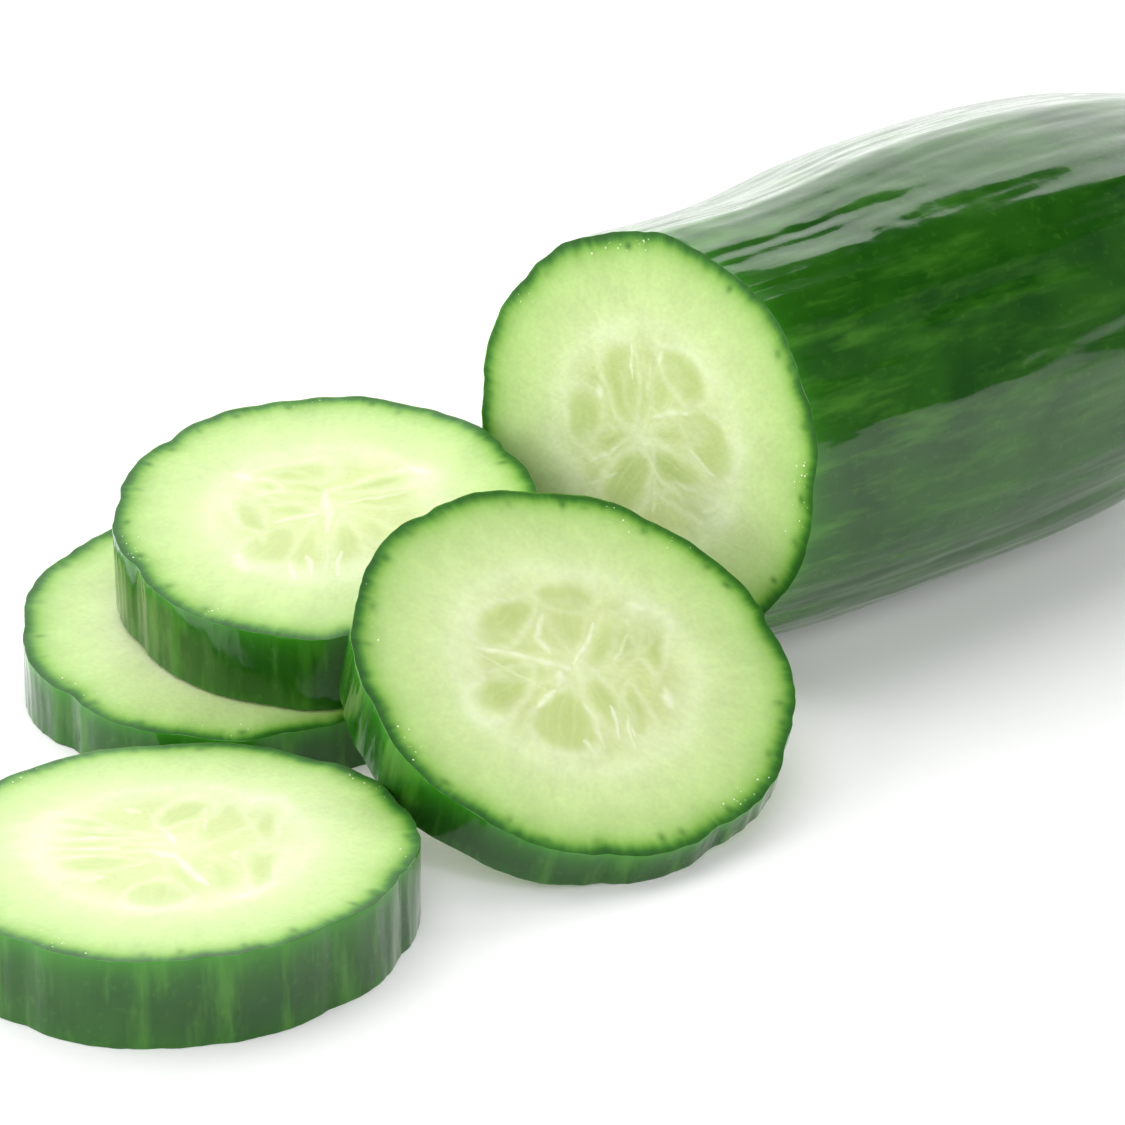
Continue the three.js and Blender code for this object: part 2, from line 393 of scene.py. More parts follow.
def make_flesh(colours):
    """Cut cucumber flesh: wet, slightly translucent cells, so light softens inside it and the rind's
    green fades inwards without an edge. Drawn cells are coarser than real ones, so that they show."""
    uniform = {
        "IOR": 1.36,
        "Subsurface Weight": 0.35,
        "Subsurface Radius": (1.0, 1.0, 0.45),
        "Subsurface Scale": 0.0022,
    }
    material, tree, shader = new_material("moist_cut_cucumber_flesh", uniform)
    ray = add(tree, "ShaderNodeAttribute", attribute_name="ray").outputs["Vector"]
    depth, seed, strand, vein = (
        add(tree, "ShaderNodeAttribute", attribute_name=name).outputs["Fac"]
        for name in ("depth", "seed", "strand", "vein")
    )
    place = add(tree, "ShaderNodeTexCoord").outputs["Object"]
    flat = add(tree, "ShaderNodeVectorMath", {0: ray, 1: (1.0, 1.0, 0.2)}, operation="MULTIPLY")
    inwards = add(tree, "ShaderNodeCombineXYZ", {"Z": calculate(tree, depth, ("MULTIPLY", 0.03))})
    outwards = add(tree, "ShaderNodeVectorMath", {0: ray, 1: inwards.outputs[0]}, operation="ADD")

    # Broad tongues and fine teeth round the rim, fine cells, soft clouds, and fibres that run outwards.
    tongues, teeth, cells, clouds, fibres = (
        add(tree, "ShaderNodeTexNoise", {"Vector": vector, "Scale": scale, "Detail": detail}).outputs[0]
        for vector, scale, detail in (
            (flat.outputs[0], 4.0, 2.0),
            (flat.outputs[0], 24.0, 3.0),
            (place, 1 / (CELL_MM * MM), 3.0),
            (place, 1 / (CLOUD_MM * MM), 3.0),
            (outwards.outputs[0], 16.0, 3.0),
        )
    )

    # The rind's inner edge is ragged.
    near_rim = calculate(tree, depth, ("MULTIPLY", -0.45), ("EXPONENT",))
    ragged = weigh(tree, (tongues, 2.0), (teeth, 1.2), plus=-1.6)
    steps = ("MULTIPLY", near_rim), ("ADD", depth), ("MULTIPLY", 1 / FLESH_DEPTH_MM)
    ramp = add(tree, "ShaderNodeValToRGB", {"Fac": calculate(tree, ragged, *steps)})
    for i, (distance, tone) in enumerate(FLESH_BY_DEPTH):
        stops = ramp.color_ramp.elements
        stop = stops[i] if i < 2 else stops.new(distance / FLESH_DEPTH_MM)
        stop.position = distance / FLESH_DEPTH_MM
        stop.color = linear(tone)

    tone = weigh(tree, (cells, 0.16), (clouds, 0.22), (fibres, 0.14), plus=FLESH_TONE)
    grainy = calculate(tree, weigh(tree, (cells, 0.99), plus=0.315), ("MULTIPLY", seed))
    flesh = paint(
        tree,
        ramp.outputs[0],
        (1.0, tone, "MULTIPLY"),
        (weigh(tree, (vein, 0.9)), tuple(colours.vein), "MIX"),
        (grainy, tuple(colours.seed), "MIX"),
        (weigh(tree, (strand, 0.7)), tuple(colours.strand), "MIX"),
    )
    tree.links.new(flesh, shader.inputs["Base Color"])

    # The gel over the seeds is wetter than the flesh round it.
    wet = weigh(tree, (seed, -0.14), (clouds, 0.24), plus=0.34)
    tree.links.new(wet, shader.inputs["Roughness"])
    bump = add(tree, "ShaderNodeBump", {"Height": cells, "Strength": 0.4, "Distance": 0.00012})
    tree.links.new(bump.outputs[0], shader.inputs["Normal"])
    return material


def make_skin(colours):
    """Waxy cucumber skin: smooth and glossy over a dark green that is streaked and freckled lengthwise,
    with a painted lighter band just under each cut, a painted glow for light that comes through the cut
    flesh. The wax mirrors the room in long shapes that break over the ribs."""
    uniform = {
        "IOR": 1.45,
        "Coat Weight": 0.22,
        "Coat Roughness": 0.08,
        "Subsurface Weight": 0.08,
        "Subsurface Radius": (0.6, 1.0, 0.3),
        "Subsurface Scale": 0.001,
    }
    material, tree, shader = new_material("waxy_cucumber_skin", uniform)
    ray = add(tree, "ShaderNodeAttribute", attribute_name="ray").outputs["Vector"]
    edge, scar = (
        add(tree, "ShaderNodeAttribute", attribute_name=name).outputs["Fac"] for name in ("edge", "scar")
    )
    place = add(tree, "ShaderNodeTexCoord").outputs["Object"]
    long = add(tree, "ShaderNodeVectorMath", {0: ray, 1: (1.0, 1.0, 0.2)}, operation="MULTIPLY")
    streaks, threads, blotches, freckles = (
        add(tree, "ShaderNodeTexNoise", {"Vector": vector, "Scale": scale, "Detail": detail}).outputs[0]
        for vector, scale, detail in (
            (long.outputs[0], 9.0, 4.0),
            (long.outputs[0], 36.0, 2.0),
            (place, 1 / (BLOTCH_MM * MM), 4.0),
            (place, 1 / (FRECKLE_MM * MM), 2.0),
        )
    )
    streaky = weigh(tree, (streaks, 0.85), (threads, 0.15))
    spans = (
        {"Value": blotches, "From Min": 0.36, "From Max": 0.6},
        {"Value": streaky, "From Min": 0.48, "From Max": 0.68, "To Max": 0.75},
        {"Value": freckles, "From Min": 0.6, "From Max": 0.76, "To Max": 0.22},
    )
    bare, pale, speck = (add(tree, "ShaderNodeMapRange", span).outputs[0] for span in spans)
    # Streaks are plain near a cut and faint further along.
    plain = weigh(tree, (calculate(tree, edge, ("MULTIPLY", -0.06), ("EXPONENT",)), 0.62), plus=0.38)
    # Painted glow: the skin is coloured lighter near a cut, standing in for light that comes through the
    # cut flesh.
    glow_painted = calculate(tree, edge, ("MULTIPLY", -0.6), ("EXPONENT",), ("MULTIPLY", 0.7))
    skin = paint(
        tree,
        tuple(colours.deep),
        (bare, tuple(colours.body), "MIX"),
        (calculate(tree, pale, ("MULTIPLY", plain)), tuple(colours.light), "MIX"),
        (speck, tuple(colours.light), "MIX"),
        (glow_painted, tuple(colours.rim), "MIX"),
        (scar, tuple(colours.scar), "MIX"),
    )
    tree.links.new(skin, shader.inputs["Base Color"])

    rough = weigh(tree, (blotches, 0.12), (scar, 0.45), plus=0.08)
    tree.links.new(rough, shader.inputs["Roughness"])
    grain = weigh(tree, (threads, 0.6), (freckles, 0.5))
    bump = add(tree, "ShaderNodeBump", {"Height": grain, "Strength": 0.22, "Distance": 0.00012})
    tree.links.new(bump.outputs[0], shader.inputs["Normal"])
    return material


def make_juice():
    """Beads of cucumber juice on a fresh cut, painted pale and opaque to stand in for the sparkle of
    clear juice, each with a small sparkle from its glossy coat.
    """
    material, tree, shader = new_material("juice_painted_pale_for_sparkle", {"IOR": 1.4, "Coat Weight": 1.0})
    place = add(tree, "ShaderNodeTexCoord").outputs["Object"]
    inputs = {"Vector": place, "Scale": 1 / (RIPPLE_MM * MM)}
    ripple = add(tree, "ShaderNodeTexNoise", inputs).outputs[0]
    tree.links.new(weigh(tree, (ripple, 0.08), plus=0.02), shader.inputs["Roughness"])
    # Painted sparkle: the beads' pale colour stands in for light glinting in clear juice.
    pale = paint(tree, linear(JUICE_SPARKLE_TONES[0]), (ripple, linear(JUICE_SPARKLE_TONES[1]), "MIX"))
    tree.links.new(pale, shader.inputs["Base Color"])
    return material


def make_floor(settings):
    """A matt white acrylic light table: a faint even glow from below keeps the shadows pale, and gives
    the skin a light reflection along its underside."""
    uniform = {
        "Roughness": 0.9,
        "Specular IOR Level": 0.2,
        "Emission Color": (1.0, 1.0, 1.0, 1.0),
        "Emission Strength": settings.glow,
    }
    material, tree, shader = new_material("backlit_white_acrylic", uniform)
    place = add(tree, "ShaderNodeTexCoord").outputs["Object"]
    inputs = {"Vector": place, "Scale": 1 / (HAZE_MM * MM), "Detail": 3.0}
    haze = add(tree, "ShaderNodeTexNoise", inputs).outputs[0]
    tone = weigh(tree, (haze, 0.02), plus=0.985)
    shade = paint(tree, tuple(settings.floor), (1.0, tone, "MULTIPLY"))
    tree.links.new(shade, shader.inputs["Base Color"])
    return material


# ---------------------------------------------------------------- the shared shape


def new_tree(name, inputs):
    """A Geometry Nodes tree with a mesh going in and out, and its inputs' sockets."""
    tree = bpy.data.node_groups.new(name, "GeometryNodeTree")
    for way in ("INPUT", "OUTPUT"):
        tree.interface.new_socket("Geometry", in_out=way, socket_type="NodeSocketGeometry")
    for key, value in inputs.items():
        kind = "NodeSocketInt" if isinstance(value, int) else "NodeSocketFloat"
        tree.interface.new_socket(key, in_out="INPUT", socket_type=kind).default_value = value
    return tree, add(tree, "NodeGroupInput").outputs


def unsigned(tree, value, softness):
    """The value without its sign, with the turn at zero rounded off."""
    return calculate(tree, value, ("POWER", 2.0), ("ADD", softness), ("SQRT",))


def ribbed_tree(skin, flesh):
    """Geometry Nodes tree that turns a round stack of rings into a grown fruit's section: ribs and
    lobes by rule, then an uneven swell with sharp folds, and low bumps on the skin alone."""
    inputs = {
        "Rib Count": 10.0, "Rib Depth": 0.024, "Three Lobes": 0.01, "Oval": 0.008,
        "Turn": 0.0, "Unevenness": 0.045, "Bump Height": 0.00016, "Seed": 1.0,
    }
    tree, given = new_tree("Ribbed section", inputs)
    place = add(tree, "GeometryNodeInputPosition")
    ray, on_skin, cut_side = (
        add(tree, "GeometryNodeInputNamedAttribute", {"Name": name}, data_type=kind).outputs[0]
        for name, kind in (("ray", "FLOAT_VECTOR"), ("on_skin", "FLOAT"), ("cut_side", "BOOLEAN"))
    )
    axes = add(tree, "ShaderNodeSeparateXYZ", {0: place.outputs[0]}).outputs

    def uneven(scale, detail, drawn_out):
        """Seeded noise round the section, from -0.5 to 0.5, drawn out along the fruit."""
        factors = {0: ray, 1: (1.0, 1.0, 1 / drawn_out)}
        along = add(tree, "ShaderNodeVectorMath", factors, operation="MULTIPLY").outputs[0]
        inputs = {"Vector": along, "W": given["Seed"], "Scale": scale, "Detail": detail}
        field = add(tree, "ShaderNodeTexNoise", inputs, noise_dimensions="4D")
        return calculate(tree, field.outputs[0], ("SUBTRACT", 0.5))

    angle = calculate(tree, axes["Y"], ("ARCTAN2", axes["X"]), ("SUBTRACT", given["Turn"]))
    sway = calculate(tree, uneven(1.3, 2.0, 3.0), ("MULTIPLY", 0.5), ("ADD", angle))
    # Broad crests and narrow grooves, less sharp than the CAD's.
    wave = calculate(tree, sway, ("MULTIPLY", given["Rib Count"]), ("MULTIPLY", 0.5), ("COSINE",))
    crest = calculate(tree, unsigned(tree, wave, 0.015), ("SUBTRACT", 2 / math.pi))
    steps = ("MULTIPLY", 3.0), ("ADD", 1.0), ("MULTIPLY", given["Rib Depth"])
    strength = calculate(tree, uneven(1.7, 2.0, 2.0), *steps)
    steps = ("MULTIPLY", 3.0), ("ADD", 1.0), ("COSINE",), ("MULTIPLY", given["Three Lobes"])
    lobes = calculate(tree, angle, *steps)
    ovals = calculate(tree, angle, ("MULTIPLY", 2.0), ("COSINE",), ("MULTIPLY", given["Oval"]))
    folds = calculate(tree, unsigned(tree, uneven(4.6, 1.0, 16.0), 0.0002), ("MULTIPLY", 0.9))
    creases = calculate(tree, uneven(5.0, 2.0, 16.0), ("ADD", folds), ("MULTIPLY", given["Unevenness"]))
    steps = ("MULTIPLY", strength), ("ADD", lobes), ("ADD", ovals), ("ADD", creases), ("ADD", 1.0)
    reach = calculate(tree, crest, *steps)
    x = calculate(tree, axes["X"], ("MULTIPLY", reach))
    y = calculate(tree, axes["Y"], ("MULTIPLY", reach))
    ribbed = add(tree, "ShaderNodeCombineXYZ", {"X": x, "Y": y, "Z": axes["Z"]})

    steps = ("MULTIPLY", given["Bump Height"]), ("MULTIPLY", 2.0), ("MULTIPLY", on_skin)
    bumps = {0: add(tree, "GeometryNodeInputNormal").outputs[0]}
    bumps["Scale"] = calculate(tree, uneven(11.0, 3.0, 2.0), *steps)
    push = add(tree, "ShaderNodeVectorMath", bumps, operation="SCALE")
    inputs = {"Geometry": given["Geometry"], "Position": ribbed.outputs[0], "Offset": push.outputs[0]}
    shaped = add(tree, "GeometryNodeSetPosition", inputs)
    real = add(tree, "GeometryNodeRealizeInstances", {"Geometry": shaped.outputs[0]})
    skinned = add(tree, "GeometryNodeSetMaterial", {"Geometry": real.outputs[0], "Material": skin})
    inputs = {"Geometry": skinned.outputs[0], "Selection": cut_side, "Material": flesh}
    fleshed = add(tree, "GeometryNodeSetMaterial", inputs)
    add(tree, "NodeGroupOutput", {0: fleshed.outputs[0]})
    return tree


def juice_tree(juice):
    """Geometry Nodes tree that strews flat beads of juice over the wet part of a cut face."""
    inputs = {"Largest Radius": 0.00014, "Beads Per Square Metre": 900000.0, "Seed": 1}
    tree, given = new_tree("Juice beads", inputs)
    wet = add(tree, "GeometryNodeInputNamedAttribute", {"Name": "wet"}, data_type="FLOAT")
    density = calculate(tree, wet.outputs[0], ("MULTIPLY", given["Beads Per Square Metre"]))
    inputs = {"Mesh": given["Geometry"], "Density": density, "Seed": given["Seed"]}
    points = add(tree, "GeometryNodeDistributePointsOnFaces", inputs).outputs
    bead = add(tree, "GeometryNodeMeshIcoSphere", {"Radius": 1.0, "Subdivisions": 2})
    size = add(tree, "FunctionNodeRandomValue", {"Seed": given["Seed"]}, data_type="FLOAT")
    # Most beads are small, and none is under a quarter of the largest.
    steps = ("POWER", 2.5), ("MULTIPLY", 0.75), ("ADD", 0.25), ("MULTIPLY", given["Largest Radius"])
    radius = calculate(tree, size.outputs[1], *steps)
    flat = add(tree, "ShaderNodeVectorMath", {0: (1.0, 1.0, 0.45), "Scale": radius}, operation="SCALE")
    inputs = {"Points": points["Points"], "Instance": bead.outputs["Mesh"]}
    inputs.update({"Rotation": points["Rotation"], "Scale": flat.outputs[0]})
    beads = add(tree, "GeometryNodeInstanceOnPoints", inputs)
    real = add(tree, "GeometryNodeRealizeInstances", {"Geometry": beads.outputs[0]})
    soft = add(tree, "GeometryNodeSetShadeSmooth", {"Geometry": real.outputs[0]})
    coloured = add(tree, "GeometryNodeSetMaterial", {"Geometry": soft.outputs[0], "Material": juice})
    add(tree, "NodeGroupOutput", {0: coloured.outputs[0]})
    return tree


def run_tree(obj, tree, **values):
    """Runs a Geometry Nodes tree on an object and returns the plain mesh it gives."""
    modifier = obj.modifiers.new(tree.name, "NODES")
    modifier.node_group = tree
    identifiers = {s.name: s.identifier for s in tree.interface.items_tree if s.in_out == "INPUT"}
    for name, value in values.items():
        modifier[identifiers[name.replace("_", " ")]] = value
    graph = bpy.context.evaluated_depsgraph_get()
    mesh = bpy.data.meshes.new_from_object(obj.evaluated_get(graph), depsgraph=graph)
    obj.modifiers.remove(modifier)
    return mesh


# ---------------------------------------------------------------- cut faces


def compass(reach, degrees):
    """The point at this distance and compass angle from the middle."""
    return reach * math.cos(math.radians(degrees)), reach * math.sin(math.radians(degrees))


def grown_core(turn):
    """A core by rule, for the faces that are mostly hidden: three carpels, each with three seeds."""
    seeds, strands = [], []
    for carpel in range(3):
        for i in (-1, 0, 1):
            angle = turn + 120 * carpel + 34 * i
            seeds.append((*compass(7.4 - 0.8 * abs(i), angle), 7.4, 3.6, angle, 0.85))
        wall = turn + 60 + 120 * carpel
        strands.append((*compass(0.6, wall), *compass(10, wall), 1.0, 0.8))
    return dict(seeds=seeds, strands=strands)


def wander(u, v, size, amount, seed):
    """A smooth wandering offset, from a few sine waves with seeded directions."""
    rng = np.random.default_rng(seed)
    total = np.zeros_like(u)
    for octave in range(4):
        direction = rng.uniform(0, 2 * np.pi)
        wave = 2 * np.pi / (size * rng.uniform(0.6, 1.3) / (1 + 0.6 * octave))
        along = u * np.cos(direction) + v * np.sin(direction)
        total += np.sin(wave * along + rng.uniform(0, 6.28)) / (1 + octave)
    return amount * total / 2


def core_marks(u, v, core, seed):
    """How much seed and how much pale strand there is at each point (u, v) of a face, from 0 to 1."""
    shifts = [wander(u, v, 7.0, 0.4, seed + i) + wander(u, v, 1.8, 0.05, seed + 20 + i) for i in (0, 1)]
    u, v = u + shifts[0], v + shifts[1]
    patchy = 1 + wander(u, v, 2.6, 0.35, seed + 2)
    seeds, strands = np.zeros_like(u), np.zeros_like(u)
    for x, y, long, wide, turn, dark in core["seeds"]:
        c, s = math.cos(math.radians(turn)), math.sin(math.radians(turn))
        along = ((u - x) * c + (v - y) * s) / (long / 2)
        across = ((v - y) * c - (u - x) * s) / (wide / 2)
        # A seed is a teardrop: narrow towards the middle of the fruit, blunt outside.
        inside = (1 - np.hypot(along, across / np.clip(1 + 0.4 * along, 0.4, 1.6))) * wide / 2
        grown = dark * smooth(-0.25, 0.95, inside) * (0.75 + 0.25 * smooth(0.2, 0.8 * wide / 2, inside))
        # Fine pale threads run down each seed.
        threads = smooth(0.3, 1.0, np.sin(across * wide * 2.2 + 3 * x))
        grown *= 1 - 0.3 * threads * smooth(1.0, 0.2, np.abs(along))
        seeds = np.maximum(seeds, grown)
        strands = np.maximum(strands, 0.4 * dark * patchy * np.exp(-(((inside + 0.4) / 0.5) ** 2)))
    for x1, y1, x2, y2, wide, pale in core["strands"]:
        run = np.array([x2 - x1, y2 - y1])
        t = np.clip(((u - x1) * run[0] + (v - y1) * run[1]) / (run @ run), 0, 1)
        # A strand is thick in its middle and thin at both ends.
        away = np.hypot(u - x1 - t * run[0], v - y1 - t * run[1])
        away = away / (wide * (0.22 + 0.26 * np.sin(np.pi * t)))
        strands = np.maximum(strands, pale * patchy * np.exp(-(away**2)))
    strands = np.clip(strands, 0, 1)
    return seeds * (1 - 0.6 * strands), strands


def vein_marks(angle, depth, seed):
    """Green vessel ends in a loose ring just inside the skin, each a short tooth."""
    rng = np.random.default_rng(seed)
    veins = np.zeros_like(angle)
    for start in np.arange(0, 2 * np.pi, 2 * np.pi / VESSELS):
        place = start + rng.uniform(-0.11, 0.11)
        at, tall, wide = rng.uniform(0.9, 1.9), rng.uniform(0.45, 0.8), rng.uniform(0.35, 0.7)
        strength = rng.uniform(0.25, 1.0)
        turn = (angle - place + np.pi) % (2 * np.pi) - np.pi
        sideways = turn * VESSELS / wide
        veins = np.maximum(veins, strength * np.exp(-(sideways**2) - ((depth - at) / tall) ** 2))
    return veins


# A ring is (radius, height, depth below the skin, side), in millimetres, where side is -1 on the lower
# cut face, 0 on the skin and 1 on the upper cut face.


def face_rings(radius, height, step, side):
    """The rings of one cut face, from the skin inwards."""
    depths = np.concatenate([RIM_DEPTHS_MM, np.arange(CORE_FROM_MM, radius - MIDDLE_MM, step)])
    return [(radius - depth, height, depth, side) for depth in depths]


def ring_mesh(name, rings, ends, relief, marks):
    """Makes a closed mesh from rings and a point at each end. relief is an offset along the axis."""
    radius, height = rings[:, 0:1], rings[:, 1:2]
    grid = np.stack([radius * np.cos(ANGLES), radius * np.sin(ANGLES), height + relief], axis=-1)
    points = np.vstack([[0, 0, ends[0]], grid.reshape(-1, 3), [0, 0, ends[1]]]) * MM
    here = 1 + np.arange(SEGMENTS)
    after = 1 + (np.arange(SEGMENTS) + 1) % SEGMENTS
    faces = [(0, b, a) for a, b in zip(here, after)]
    top = (len(rings) - 1) * SEGMENTS
    for low in range(0, top, SEGMENTS):
        high = low + SEGMENTS
        faces += zip(here + low, after + low, after + high, here + high)
    faces += [(len(points) - 1, a, b) for a, b in zip(here + top, after + top)]
    mesh = bpy.data.meshes.new(name)
    mesh.from_pydata(points.tolist(), [], [tuple(int(i) for i in face) for face in faces])
    mesh.polygons.foreach_set("use_smooth", np.ones(len(mesh.polygons), bool))
    for key, values in marks.items():
        kind, field = ("FLOAT_VECTOR", "vector") if values.ndim == 3 else ("FLOAT", "value")
        # The point at each end carries what the ring next to it does.
        flat = [values[:1, 0], values.reshape(-1, *values.shape[2:]), values[-1:, 0]]
        data = mesh.attributes.new(key, kind, "POINT").data
        data.foreach_set(field, np.concatenate(flat).astype(np.float32).ravel())
    side = np.concatenate([[rings[0, 3]], np.repeat(rings[:, 3], SEGMENTS), [rings[-1, 3]]])
    cut = np.array([all(side[i] != 0 for i in p.vertices) for p in mesh.polygons])
    mesh.attributes.new("cut_side", "BOOLEAN", "FACE").data.foreach_set("value", cut)
    return mesh


def spread(values):
    """Gives every point of a ring the ring's own value."""
    return np.repeat(values[:, None], SEGMENTS, axis=1)


def face_pattern(rings, plane_uv, cores, seed, edge, scar):
    """The relief of the cut faces, and everything the mesh carries for its materials."""
    height, depth, side, edge, scar = (spread(row) for row in (*rings.T[1:], edge, scar))
    angle = np.repeat(ANGLES[None, :], len(rings), axis=0)
    seeds, strands, veins, relief = (np.zeros_like(depth) for _ in range(4))
    for which, core in cores.items():
        rows = rings[:, 3] == which
        u, v = plane_uv(rings[rows, 0:1], ANGLES[None, :], which)
        grown, pale = core_marks(u, v, core, 10 * seed + which)
        vessel = vein_marks(angle[rows], depth[rows], 10 * seed + which)
        seeds[rows], strands[rows], veins[rows] = grown, pale, vessel
        rise = SEED_RISE_MM * grown + FIBRE_RISE_MM * pale + FIBRE_RISE_MM * vessel
        rise -= CORE_SINK_MM * smooth(10.5, 13.0, depth[rows])
        relief[rows] = which * (rise + wander(u, v, 9.0, KNIFE_WAVE_MM, seed + 7))
    # Juice gathers in a few stretches of the rim.
    gathered = smooth(0.1, 0.9, np.sin(2 * angle + seed) * np.sin(5 * angle + 2 * seed))
    marks = {
        "ray": np.stack([np.cos(angle), np.sin(angle), height / RAY_STEP_MM], axis=-1),
        "depth": depth,
        "seed": seeds,
        "strand": strands,
        "vein": veins,
        "edge": edge,
        "wet": (side != 0) * gathered * smooth(0.4, 1.0, depth) * smooth(4.0, 1.0, depth),
        "on_skin": (side == 0) * smooth(0.0, 1.5, edge),
        "scar": scar,
    }
    return relief, marks


def leaning(degrees, towards):
    """Unit vector that leans from +Z by the given degrees towards a compass angle."""
    lean, way = math.radians(degrees), math.radians(towards)
    return Vector((math.sin(lean) * math.cos(way), math.sin(lean) * math.sin(way), math.cos(lean)))


def section(angles, shape, turn):
    """The CAD's radius round the section, as a share of the mean radius."""
    angles = angles - math.radians(turn)
    crest = np.abs(np.cos(angles * shape.rib_count / 2)) - 2 / np.pi
    lobes = shape.three_lobe * np.cos(3 * angles + 1)
    return 1 + shape.rib_depth * crest + lobes + shape.oval * np.cos(2 * angles)


def points_of(mesh):
    points = np.empty(len(mesh.vertices) * 3, np.float32)
    mesh.vertices.foreach_get("co", points)
    return points.reshape(-1, 3).astype(float)


def cad_outline(shape, turn, radii, heights):
    """Points on the CAD's own outline: rings round the axis with these radii at these heights."""
    angles = np.linspace(0, 2 * np.pi, OUTLINE_STEPS, endpoint=False)
    rings = []
    for radius, height in zip(radii, heights):
        rim = section(angles, shape, turn) * radius * MM
        ring = rim * np.cos(angles), rim * np.sin(angles), np.full_like(rim, height * MM)
        rings.append(np.stack(ring, axis=1))
    return np.vstack(rings)


def grow(name, rings, ends, relief, marks, turn, seed):
    """Runs the rib tree on a stack of rings and returns the mesh it gives."""
    scene = bpy.context.scene
    shape = scene.cucumber_shape
    if "Ribbed section" not in bpy.data.node_groups:
        ribbed_tree(make_skin(scene.cucumber_skin), make_flesh(scene.cucumber_flesh))
    mesh = ring_mesh(name + "_rings", rings, ends, relief, marks)
    raw = bpy.data.objects.new(name + "_rings", mesh)
    scene.collection.objects.link(raw)
    grown = run_tree(
        raw,
        bpy.data.node_groups["Ribbed section"],
        Rib_Count=float(shape.rib_count),
        Rib_Depth=shape.rib_depth,
        Three_Lobes=shape.three_lobe,
        Oval=shape.oval,
        Turn=math.radians(turn),
        Unevenness=shape.unevenness,
        Bump_Height=shape.bump_height,
        Seed=float(seed),
    )
    bpy.data.objects.remove(raw)
    return grown


def finish_piece(name, mesh, pose, outline):
    """Poses the mesh so that the CAD outline it was made from fills its CAD node's box, and makes it the
    piece that stands for that node."""
    points, outline = pose(points_of(mesh)), pose(outline)
    low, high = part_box(name)
    middle = (np.array(low) + np.array(high)) / 2
    points = points + middle - (outline.min(axis=0) + outline.max(axis=0)) / 2
    # What would reach below the surface is pressed flat on it, as soft flesh is.
    points[:, 2] = np.maximum(points[:, 2], 0)
    mesh.vertices.foreach_set("co", points.astype(np.float32).ravel())
    mesh.update()
    mesh.set_sharp_from_angle(angle=math.radians(30))
    mesh.name = name + "_grown"
    piece = bpy.data.objects.new(name + "_grown", mesh)
    bpy.context.scene.collection.objects.link(piece)
    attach(piece, "root")
    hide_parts(name)


# ---------------------------------------------------------------- pieces


def make_slice(name, sizes, seed):
    """A slice: two cut faces and the skin between them, where the CAD lays it."""
    radius, thickness, turn = sizes["radius"], sizes["thickness"], sizes["turn"]
    stand = Vector((0, 0, 1)).rotation_difference(leaning(*sizes["lean"])).to_matrix()
    slope = leaning(*sizes["wedge"])
    right = stand.transposed() @ VIEW_RIGHT
    heading = math.atan2(right.y, right.x)

    def plane_uv(distance, angles, which):
        # The lower face is seen from below, so its layout is mirrored.
        return which * distance * np.cos(angles - heading), distance * np.sin(angles - heading)

    def pose(p):
        """Shears the upper face into the plane that the knife left, then leans the slice."""
        rise = -(p[:, 0] * slope.x + p[:, 1] * slope.y) / slope.z
        p[:, 2] += rise * p[:, 2] / (thickness * MM)
        return p @ np.array(stand).T

    middle = np.linspace(0.8, thickness - 0.8, WALL_RINGS)
    wall = [EDGE_MM, 0.3, *middle, thickness - 0.3, thickness - EDGE_MM]
    rings = face_rings(radius, 0.0, UNSEEN_STEP_MM, -1)[::-1] + [(radius, h, 0.0, 0) for h in wall]
    rings = np.array(rings + face_rings(radius, thickness, SEEN_STEP_MM, 1))
    height, side = rings[:, 1], rings[:, 3]
    edge = (side == 0) * np.minimum(height + LOWER_RIM_MM, thickness - height)
    cores = {-1: grown_core(40 * seed), 1: CORES.get(name) or grown_core(25 * seed)}
    relief, marks = face_pattern(rings, plane_uv, cores, seed, edge, 0 * edge)
    # The underside lies flat, so nothing stands out of it, and it holds no beads.
    relief[side < 0] = np.maximum(relief[side < 0], 0)
    marks["wet"][side < 0] = 0
    mesh = grow(name, rings, (END_INSET_MM, thickness - END_INSET_MM), relief, marks, turn, seed)
    outline = cad_outline(bpy.context.scene.cucumber_shape, turn, (radius, radius), (0, thickness))
    finish_piece(name, mesh, pose, outline)


def fruit_radius(distance):
    """Radius of the uncut fruit at a distance from the cut: a slow swell, then a full round end."""
    before = 1 - CUT_NARROWING * (1 - distance / WIDEST_AT_MM) ** 2
    share_of_end = np.clip((distance - WIDEST_AT_MM) / (FRUIT_LENGTH_MM - WIDEST_AT_MM), 0, 1)
    after = np.sqrt(1 - share_of_end**END_FULLNESS)
    return WIDEST_RADIUS_MM * np.where(distance < WIDEST_AT_MM, before, after)


